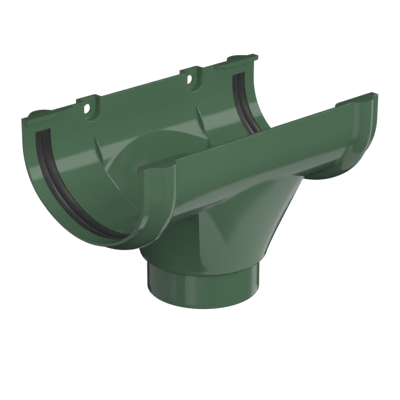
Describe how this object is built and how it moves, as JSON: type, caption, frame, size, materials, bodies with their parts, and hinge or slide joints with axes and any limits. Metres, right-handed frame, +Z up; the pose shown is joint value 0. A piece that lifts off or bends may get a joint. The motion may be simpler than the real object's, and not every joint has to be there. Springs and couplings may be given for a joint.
{
  "type": "gutter outlet",
  "caption": "Running outlet for a half-round gutter: a short trough with a clipped and sealed collar at each end and a funnel down to a round downpipe spigot.",
  "frame": {"origin": "centre of the spigot's mouth, at the lowest face", "axes": "+Z up, +X along the gutter, +Y towards the wall that the outlet is screwed to"},
  "size_m": [0.215, 0.1396, 0.135],
  "materials": {
    "pvc": "satin moulded PVC, grey-green",
    "seal_rubber": "matt black moulded rubber"
  },
  "bodies": {
    "root": {"outlet_body": "pvc", "seal_left": "seal_rubber", "seal_right": "seal_rubber"}
  },
  "joints": []
}
